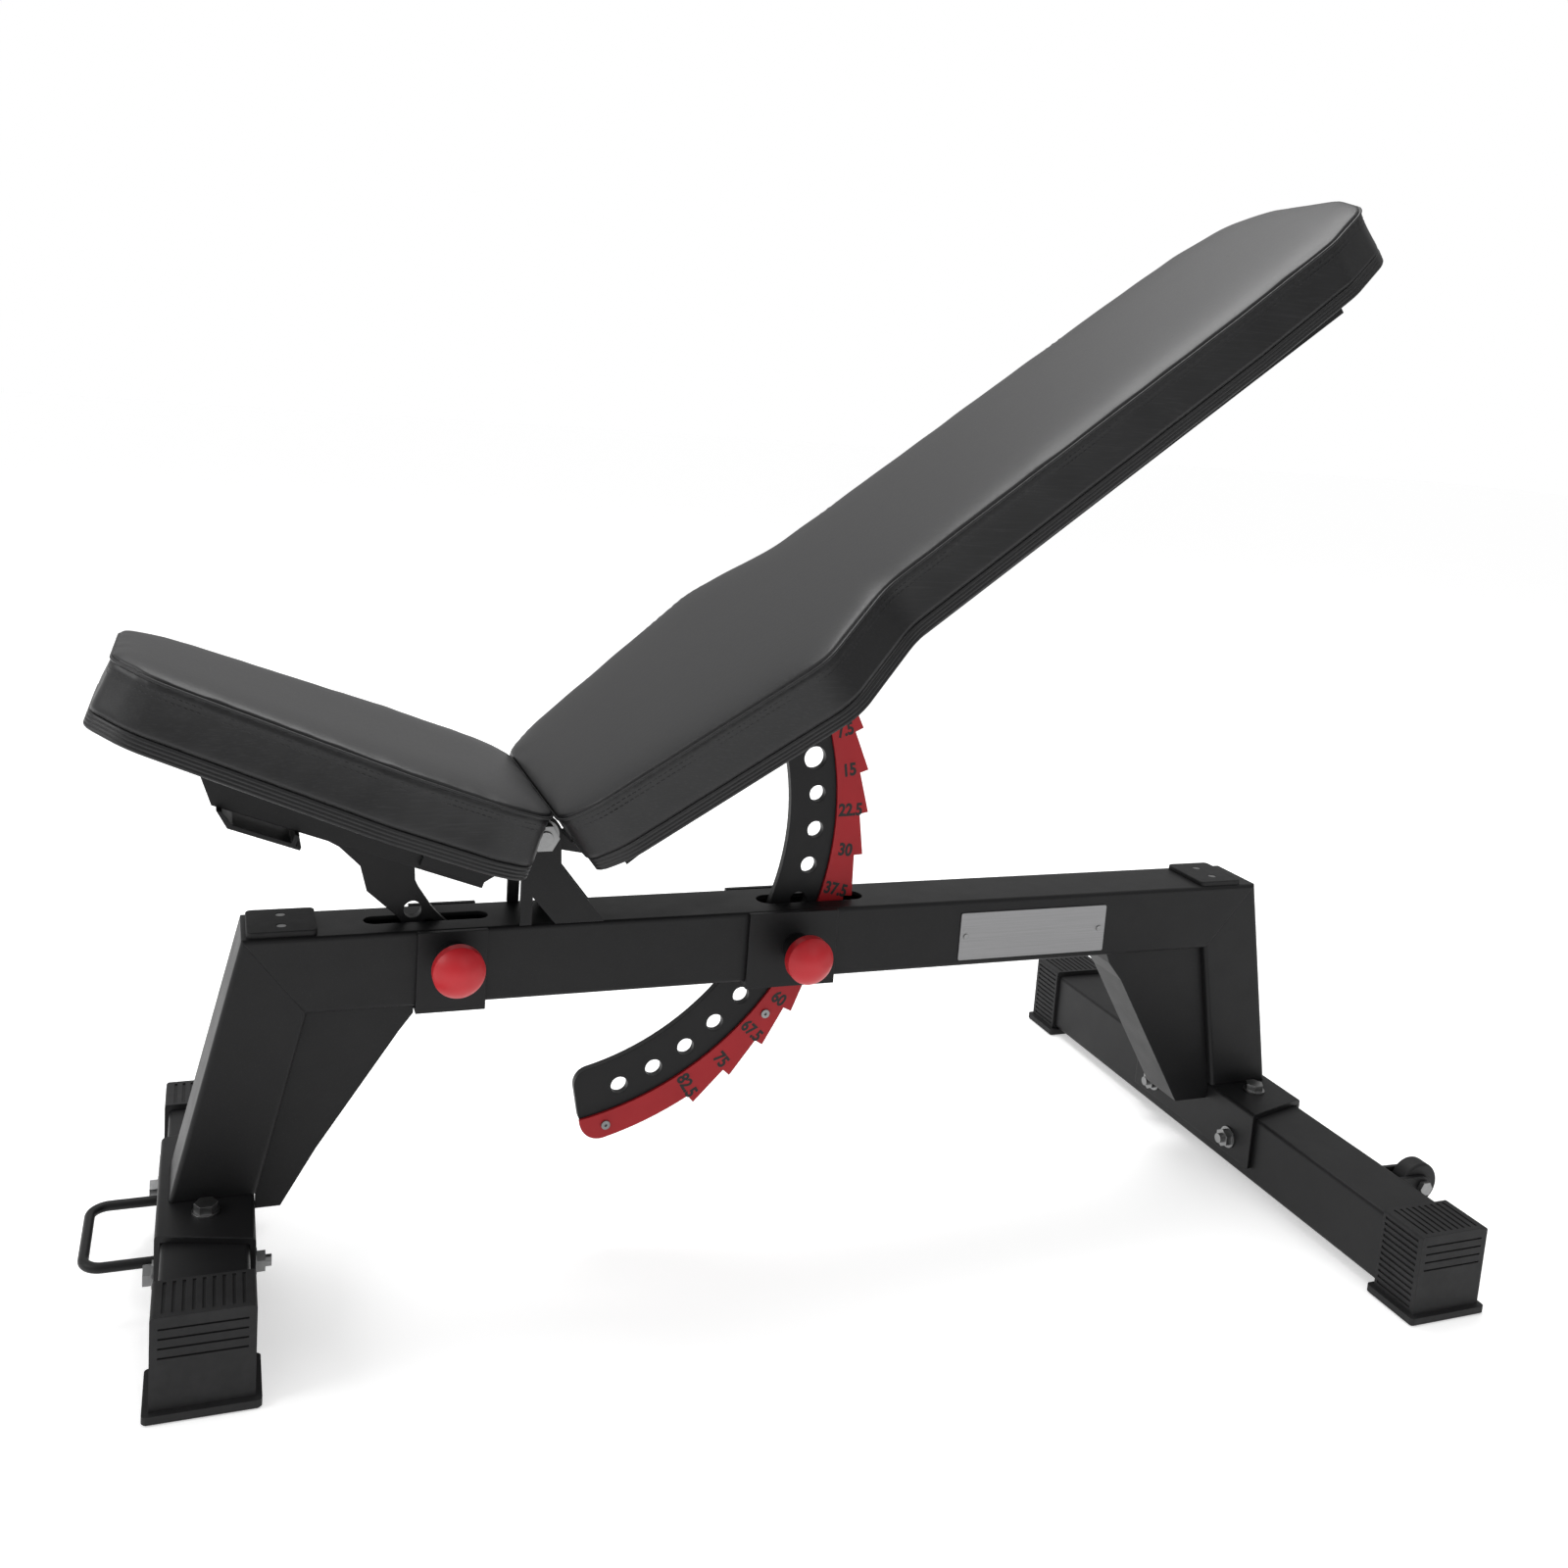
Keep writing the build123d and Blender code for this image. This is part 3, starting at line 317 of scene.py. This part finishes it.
SEAT_COVER = vinyl("seat_cover", SEAT_TURN, (18, 18, 19), (25, 25, 26))
THREAD, INK = thread(), ink()

for part in frame["record"]["subparts"]:
    name, slot = part["node"], part["material_slot"]
    if slot in finish:
        mesh = nodes[name].data
        mesh.materials.clear()
        mesh.materials.append(finish[slot])


# ------------------------------------------------------------------ pads
def rounded_ring(half, radii, step):
    """The closed outline: half mirrored in y, corners rounded, resampled at an even step."""
    ring = [np.array(p, float) for p in half] + [np.array((a, -y), float) for a, y in reversed(half)]
    turn = list(radii) + list(reversed(radii))
    path = []
    for i, corner in enumerate(ring):
        before, after = ring[i - 1] - corner, ring[(i + 1) % len(ring)] - corner
        before /= np.linalg.norm(before)
        after /= np.linalg.norm(after)
        opening = math.acos(np.clip(before @ after, -1, 1))
        centre = corner + (before + after) / np.linalg.norm(before + after) * turn[i] / math.sin(opening / 2)
        reach = turn[i] / math.tan(opening / 2)
        first, last = corner + before * reach - centre, corner + after * reach - centre
        a0 = math.atan2(first[1], first[0])
        sweep = (math.atan2(last[1], last[0]) - a0 + math.pi) % (2 * math.pi) - math.pi
        for k in range(9):
            a = a0 + sweep * k / 8
            path.append(centre + turn[i] * np.array((math.cos(a), math.sin(a))))
    path = np.array(path + [path[0]])
    length = np.concatenate([[0], np.cumsum(np.linalg.norm(np.diff(path, axis=0), axis=1))])
    count = int(round(length[-1] / step))
    at = np.linspace(0, length[-1], count, endpoint=False)
    return np.stack([np.interp(at, length, path[:, k]) for k in (0, 1)], axis=1)


def outward(ring):
    ahead = np.roll(ring, -1, axis=0) - np.roll(ring, 1, axis=0)
    ahead /= np.linalg.norm(ahead, axis=1)[:, None]
    return np.stack([-ahead[:, 1], ahead[:, 0]], axis=1)


def ripple(size, waves, seed):
    """Smooth repeatable variation around a closed ring."""
    turn = np.linspace(0, 2 * math.pi, size, endpoint=False)
    rng = np.random.default_rng(seed)
    total = np.zeros(size)
    for k in waves:
        total += math.sqrt(1.0 / len(waves)) * rng.uniform(0.6, 1.0) * np.sin(k * turn + rng.uniform(0, 7))
    return total


def ring_mesh(name, rows):
    """A mesh from rings of points, neighbours joined by quads; the end rings fold shut on their middle."""
    count, size = len(rows), len(rows[0])
    mesh = bpy.data.meshes.new(name)
    faces = []
    for r in range(count - 1):
        for c in range(size):
            d = (c + 1) % size
            faces.append((r * size + c, r * size + d, (r + 1) * size + d, (r + 1) * size + c))
    mesh.from_pydata(np.concatenate(rows).tolist(), [], faces)
    bm = bmesh.new()
    bm.from_mesh(mesh)
    bmesh.ops.recalc_face_normals(bm, faces=bm.faces)
    bm.to_mesh(mesh)
    bm.free()
    mesh.polygons.foreach_set("use_smooth", [True] * len(mesh.polygons))
    obj = bpy.data.objects.new(name, mesh)
    scene.collection.objects.link(obj)
    return obj


def weld(obj, distance):
    bm = bmesh.new()
    bm.from_mesh(obj.data)
    bmesh.ops.remove_doubles(bm, verts=bm.verts, dist=distance)
    bmesh.ops.dissolve_degenerate(bm, edges=bm.edges, dist=distance / 4)
    bmesh.ops.recalc_face_normals(bm, faces=bm.faces)
    bm.to_mesh(obj.data)
    bm.free()
    obj.data.polygons.foreach_set("use_smooth", [True] * len(obj.data.polygons))


RING_STEP = 6.0             # mm between points round a pad, before the columns are made finer
WELD = 0.00012              # m; closes the folded middle of the end rings
SEAM_N, PAD_FLOOR, BOARD_FLOOR = 33.0, -11.6, -26.0     # mm above the pivot line
SHOULDER_POWER, SHOULDER_SOFTNESS = 6, 0.6              # how flat the top is, how round its edge
TOP_ROWS, BAND_ROWS, TOP_CROWDING = 18, 12, 1.6
RIM_START = 0.0199          # the boards keep clear of the hinge cheeks when the bench is flat
BAND_SHAPE = ([33, 29, 22, 10, 0, -7, -11.6], [0.0, -0.9, -1.5, -1.2, -0.5, 0.2, 0.0])
INSET = 0.4


def spine(ring, first, last):
    return np.stack([np.clip(ring[:, 0], first, last), np.zeros(len(ring))], axis=1)


SWELL_FRAMES, SWELL_PRESSURE = 20, 4.0


def swell(sheet, pinned, cap):
    """Blows the closed cover up with cloth and returns the moved points."""
    group = sheet.vertex_groups.new(name="pin")
    group.add(pinned, 1.0, "REPLACE")
    cloth = sheet.modifiers.new("cloth", "CLOTH")
    cloth.settings.vertex_group_mass = "pin"
    cloth.settings.quality = 5
    cloth.settings.mass = 0.35
    cloth.settings.tension_stiffness = cloth.settings.compression_stiffness = 40
    cloth.settings.shear_stiffness = 20
    cloth.settings.bending_stiffness = 4.0
    cloth.settings.use_pressure = True
    cloth.settings.uniform_pressure_force = SWELL_PRESSURE
    cloth.settings.effector_weights.gravity = 0
    cloth.collision_settings.use_collision = False
    cloth.point_cache.frame_start, cloth.point_cache.frame_end = 1, SWELL_FRAMES
    rest = np.array([v.co for v in sheet.data.vertices])
    for step in range(1, SWELL_FRAMES + 1):
        scene.frame_set(step)
    grown = sheet.evaluated_get(bpy.context.evaluated_depsgraph_get()).to_mesh()
    moved = np.array([v.co for v in grown.vertices]) - rest
    sheet.modifiers.remove(cloth)
    scene.frame_set(1)
    far = np.linalg.norm(moved, axis=1)
    moved *= (np.minimum(far, cap) / np.maximum(far, 1e-9))[:, None]
    return rest + moved


def pad_rows(pad, ring, first, last, crown):
    """Rings of points over the cover, from the middle of the top to the middle of the bottom."""
    middle, out = spine(ring, first, last), outward(ring)
    edge = ring - out * INSET
    rows = []
    for k in range(TOP_ROWS + 1):
        s = 1 - (1 - k / TOP_ROWS) ** TOP_CROWDING
        place = middle + (edge - middle) * s
        rise = crown * (1 - s ** SHOULDER_POWER) ** SHOULDER_SOFTNESS
        rows.append((place, np.full(len(ring), SEAM_N + rise)))
    for k in range(1, BAND_ROWS + 1):
        n = SEAM_N + (PAD_FLOOR - SEAM_N) * k / BAND_ROWS
        rows.append((edge + out * np.interp(-n, [-v for v in BAND_SHAPE[0]], BAND_SHAPE[1]),
                     np.full(len(ring), n)))
    for k in (1, 2, 3):
        rows.append((middle + (edge - middle) * (1 - k / 3.0), np.full(len(ring), PAD_FLOOR)))
    return [pad.at(p[:, 0] / 1000, p[:, 1] / 1000, n / 1000) for p, n in rows]


# The seam lip under the top edge: mm outward and mm up from the seam.
SEAM_LIP = ((-2.2, -0.15), (-0.9, 0.35), (0.3, 0.30), (1.0, -0.35), (0.9, -1.3), (0.0, -2.1),
            (-1.1, -2.6), (-1.3, -3.2))
SLOW_WAVES, FAST_WAVES = (9, 14, 23, 31, 47), (211, 233, 257, 283, 301)     # ripples round a pad
SLOW_SEED, FAST_SEED = 5, 8
STITCH_DEPTHS = (8.2, 12.6)                                                 # mm below the seam
CAP, JOINT = 0.008, "backrest_tilt"


def upholster(pad, name, outline, radii, first, last, crown, anchor_a, keep, look, cover, *replaced):
    """A swollen cushion with its seam and stitches, and the wrapped board under it."""
    ring = rounded_ring(outline, radii, RING_STEP)
    size = len(ring)
    rows = pad_rows(pad, ring, first, last, crown)
    sheet = ring_mesh(name + "_swelling", rows)
    pinned = list(range(TOP_ROWS * size, (TOP_ROWS + 1) * size))
    pinned += list(range((TOP_ROWS + BAND_ROWS) * size, len(rows) * size))
    moved = swell(sheet, pinned, CAP)
    rows = [moved[r * size:(r + 1) * size] for r in range(len(rows))]
    bpy.data.objects.remove(sheet)

    # finer columns, then the seam lip, the pull of the stitches and slow waves in the cover
    def finer(row):
        halfway = (-np.roll(row, 1, 0) + 9 * row + 9 * np.roll(row, -1, 0) - np.roll(row, -2, 0)) / 16
        both = np.empty((2 * size, 3))
        both[0::2], both[1::2] = row, halfway
        return both
    rows = [finer(r) for r in rows]
    outer = np.repeat(outward(ring), 2, axis=0)
    push = outer[:, :1] * pad.along + outer[:, 1:] * Y_AXIS
    lift = pad.up
    wave = ripple(2 * size, SLOW_WAVES, SLOW_SEED)[:, None]
    pucker = ripple(2 * size, FAST_WAVES, FAST_SEED)[:, None]
    seam = rows[TOP_ROWS]
    done = rows[:TOP_ROWS]
    done[-1] = done[-1] + lift * 0.00035 * pucker
    for k in range(2, 7):
        done[-k] = done[-k] + lift * 0.00045 * wave * (7 - k) / 5
    for shift, rise in SEAM_LIP:
        done.append(seam + push * (shift / 1000) + lift * (rise / 1000) + push * 0.00012 * pucker)
    band = rows[TOP_ROWS + 1:TOP_ROWS + BAND_ROWS + 1]
    for k, row in enumerate(band):
        share = math.sin(math.pi * (k + 1) / (len(band) + 1))
        extra = push * 0.0004 * pucker * math.exp(-k) + push * 0.0006 * wave * share
        done.append(row + extra)
    done += rows[TOP_ROWS + BAND_ROWS + 1:]
    obj = ring_mesh(name, done)
    weld(obj, WELD)
    obj.data.materials.append(look)
    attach(obj, pad.body)
    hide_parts(replaced[0])

    # two rows of stitches under the seam
    stitches = []
    for depth in STITCH_DEPTHS:
        k = depth / ((SEAM_N - PAD_FLOOR) / BAND_ROWS) - 1
        row = band[int(k)] * (1 - k % 1) + band[int(k) + 1] * (k % 1)
        stitches.append(row)
    stitching = add_stitches(pad, name + "_stitching", stitches, push)
    rim(pad, name.replace("cushion", "rim"), ring, first, last, cover, replaced[1])
    for piece in (stitching, obj):
        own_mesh(piece)


# A stitch: m from one to the next, its length, half its width, and how far it stands proud.
STITCH_PITCH, STITCH_LENGTH, STITCH_HALF = 0.0052, 0.0036, 0.00042
STITCH_PROUD, STITCH_LIFT = 0.00034, 0.00005
# Its sections from end to end (place along it, height, width), and the section's own outline.
STITCH_SECTIONS = ((-0.5, -0.3, 0.3), (-0.36, 0.8, 0.9), (0.0, 1.0, 1.0), (0.36, 0.8, 0.9), (0.5, -0.3, 0.3))
STITCH_OUTLINE = ((-1, -0.4), (-0.6, 0.8), (0.6, 0.8), (1, -0.4))


def add_stitches(pad, name, rows, push):
    """Short threads along each row, each a flattened bar with sunk ends."""
    verts, faces = [], []
    for row in rows:
        loop = np.concatenate([row, row[:1]])
        dist = np.concatenate([[0], np.cumsum(np.linalg.norm(np.diff(loop, axis=0), axis=1))])
        count = int(dist[-1] / STITCH_PITCH)
        out = np.concatenate([push, push[:1]])
        for i in range(count):
            mid = (i + 0.5) * dist[-1] / count
            base = len(verts)
            for along, rise, wide in STITCH_SECTIONS:
                at = (mid + along * STITCH_LENGTH) % dist[-1]
                p = np.array([np.interp(at, dist, loop[:, k]) for k in range(3)])
                o = np.array([np.interp(at, dist, out[:, k]) for k in range(3)])
                for side, up in STITCH_OUTLINE:
                    verts.append(p + pad.up * side * STITCH_HALF * wide
                                 + o * STITCH_PROUD * rise * (0.5 + 0.5 * up) + o * STITCH_LIFT)
            for s in range(4):
                for c in range(3):
                    a = base + s * 4 + c
                    faces.append((a, a + 1, a + 5, a + 4))
    mesh = bpy.data.meshes.new(name)
    mesh.from_pydata([tuple(v) for v in verts], [], faces)
    mesh.polygons.foreach_set("use_smooth", [True] * len(mesh.polygons))
    mesh.materials.append(THREAD)
    obj = bpy.data.objects.new(name, mesh)
    scene.collection.objects.link(obj)
    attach(obj, pad.body)
    return obj


def rim(pad, name, ring, first, last, look, replaced):
    """The board under the cushion, wrapped in vinyl, with three fine grooves round it."""
    middle, out = spine(ring, first, last), outward(ring)
    profile = [(-3.0, -12.0), (-2.2, -12.2), (-0.9, -12.5), (-0.3, -13.2), (-0.1, -14.6)]
    for n in (-16.0, -19.2, -22.4):
        profile += [(-0.1, n + 0.8), (-0.9, n + 0.25), (-0.9, n - 0.25), (-0.1, n - 0.8)]
    profile += [(-0.2, -24.4), (-0.9, -25.5), (-2.4, -26.0), (-5.0, -26.0)]
    rows = [pad.at(*(middle * 1e-3).T, np.full(len(ring), -0.012))]
    for shift, n in profile:
        place = (ring + out * (shift + 0.3)) * 1e-3
        place[:, 0] = np.maximum(place[:, 0], RIM_START)
        rows.append(pad.at(place[:, 0], place[:, 1], np.full(len(ring), n * 1e-3)))
    rows.append(pad.at(*(middle * 1e-3).T, np.full(len(ring), BOARD_FLOOR / 1000)))
    obj = ring_mesh(name, rows)
    weld(obj, WELD)
    obj.data.materials.append(look)
    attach(obj, pad.body)
    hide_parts(replaced)


# Half outlines (mm from the hinge, mm from the middle) and the rounding of each corner.
BACK_OUTLINE = [(18.3, 120), (50, 144), (272, 198), (366, 144), (800, 140), (930, 132), (996, 108),
                (1020, 50)]
BACK_ROUND = [28, 60, 45, 60, 80, 60, 40, 26]
SEAT_OUTLINE = [(18.3, 116), (60, 130), (150, 130), (360, 92), (394, 62)]
SEAT_ROUND = [30, 60, 120, 60, 24]
CROWN = 8.0
upholster(BACK, "back_cushion", BACK_OUTLINE, BACK_ROUND, 120, 910, CROWN, 1.02, 0.974,
          BACK_VINYL, BACK_COVER, "back_pad", "back_board")
upholster(SEAT, "seat_cushion", SEAT_OUTLINE, SEAT_ROUND, 118, 330, CROWN, 0.394, 0.931,
          SEAT_VINYL, SEAT_COVER, "seat_pad", "seat_board")

# ------------------------------------------------------------------ numbers on the scale
SCALE_NUMBERS = ("7.5", "15", "22.5", "30", "37.5", "45", "52.5", "60", "67.5", "75", "82.5")
NUMBER_RADIUS, NUMBER_HEIGHT, NUMBER_SQUEEZE = 0.3155, 0.0135, 0.86
NUMBER_LEAD = -13.8         # degrees from the backrest's line to where setting 0 would stand
NUMBER_DEPTH, NUMBER_WEIGHT, NUMBER_SINK = 0.00008, 0.0006, 0.0001
face_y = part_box("angle_scale")[0][1]
for text in SCALE_NUMBERS:
    data = bpy.data.curves.new("number", "FONT")
    data.body, data.size, data.align_x, data.align_y = text, 0.016, "CENTER", "CENTER"
    data.extrude, data.offset = NUMBER_DEPTH, NUMBER_WEIGHT
    holder = bpy.data.objects.new("number", data)
    scene.collection.objects.link(holder)
    bpy.context.view_layer.update()
    mesh = bpy.data.meshes.new_from_object(holder)
    bpy.data.objects.remove(holder)
    points = np.array([v.co for v in mesh.vertices])
    points[:, :2] -= (points[:, :2].max(axis=0) + points[:, :2].min(axis=0)) / 2
    points[:, :2] *= NUMBER_HEIGHT / np.ptp(points[:, 1])
    points[:, 0] *= NUMBER_SQUEEZE
    turn = BACK_TILT + math.radians(NUMBER_LEAD - float(text))
    ray = np.array((math.cos(turn), 0, math.sin(turn)))
    rise = np.array((-math.sin(turn), 0, math.cos(turn)))
    where = (HINGE + ray * NUMBER_RADIUS + points[:, :1] * ray + points[:, 1:2] * rise
             + np.array((0, face_y - NUMBER_SINK, 0)) - points[:, 2:] * Y_AXIS)
    mesh.vertices.foreach_set("co", where.ravel())
    mesh.update()
    mesh.materials.clear()
    mesh.materials.append(INK)
    number = bpy.data.objects.new("scale_number_" + text.replace(".", "_"), mesh)
    scene.collection.objects.link(number)
    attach(number, "backrest")

# ------------------------------------------------------------------ floor and light
def floor():
    size = 30.0
    mesh = bpy.data.meshes.new("floor")
    corners = [(-size, -size, 0), (size, -size, 0), (size, size, 0), (-size, size, 0)]
    mesh.from_pydata(corners, [], [(0, 1, 2, 3)])
    m = Nodes("floor")
    m.set(Base_Color=m.mix(m.noise(3, 2), (0.86, 0.86, 0.86, 1), (0.88, 0.88, 0.88, 1)), Roughness=0.7,
          Specular_IOR_Level=0.2, Emission_Color=(1, 1, 1, 1), Emission_Strength=0.45)
    mesh.materials.append(m.material)
    obj = bpy.data.objects.new("floor", mesh)
    obj.location.z = -0.0002
    scene.collection.objects.link(obj)


def area(name, at, aim, size, power, tint=(1, 1, 1)):
    data = bpy.data.lights.new(name, "AREA")
    data.shape, data.size, data.energy, data.color = "DISK", size, power, tint
    obj = bpy.data.objects.new(name, data)
    obj.location = at
    obj.rotation_euler = (Vector(aim) - Vector(at)).to_track_quat("-Z", "Y").to_euler()
    scene.collection.objects.link(obj)


def studio():
    """White to the camera; as light, bright above and to the left and dim in front."""
    world = bpy.data.worlds.new("studio")
    world.use_nodes = True
    tree = world.node_tree
    tree.nodes.clear()

    def add(kind, **values):
        node = tree.nodes.new(kind)
        for key, value in values.items():
            setattr(node, key, value)
        return node

    def toward(direction, amount):
        dot = add("ShaderNodeVectorMath", operation="DOT_PRODUCT")
        dot.inputs[1].default_value = direction
        tree.links.new(ray, dot.inputs[0])
        node = add("ShaderNodeMath", operation="MULTIPLY", use_clamp=True)
        node.inputs[1].default_value = amount
        tree.links.new(dot.outputs["Value"], node.inputs[0])
        return node.outputs[0]

    ray = add("ShaderNodeTexCoord").outputs["Generated"]
    total = None
    for direction, amount in (((0, 0, 1), 0.60), ((-1, 0, 0), 0.30), ((0, 1, 0), 0.22)):
        part = toward(direction, amount)
        if total is None:
            total = part
            continue
        node = add("ShaderNodeMath", operation="ADD")
        tree.links.new(total, node.inputs[0])
        tree.links.new(part, node.inputs[1])
        total = node.outputs[0]
    soft, white = add("ShaderNodeBackground"), add("ShaderNodeBackground")
    base = add("ShaderNodeMath", operation="ADD")
    base.inputs[1].default_value = 0.12
    tree.links.new(total, base.inputs[0])
    tree.links.new(base.outputs[0], soft.inputs["Strength"])
    white.inputs["Strength"].default_value = 1.0
    for node in (soft, white):
        node.inputs["Color"].default_value = (1, 1, 1, 1)
    mix = add("ShaderNodeMixShader")
    tree.links.new(add("ShaderNodeLightPath").outputs["Is Camera Ray"], mix.inputs[0])
    tree.links.new(soft.outputs[0], mix.inputs[1])
    tree.links.new(white.outputs[0], mix.inputs[2])
    tree.links.new(mix.outputs[0], add("ShaderNodeOutputWorld").inputs[0])
    scene.world = world


floor()
area("overhead", (0.2, 0.9, 3.2), (0.0, 0.0, 0.4), 2.4, 60)
area("left_key", (-3.2, -0.4, 2.2), (0.0, 0.0, 0.4), 1.6, 34)
area("front_fill", (1.2, -3.6, 2.2), (0.0, 0.0, 0.5), 2.4, 12)
studio()
scene.view_settings.view_transform = "Standard"
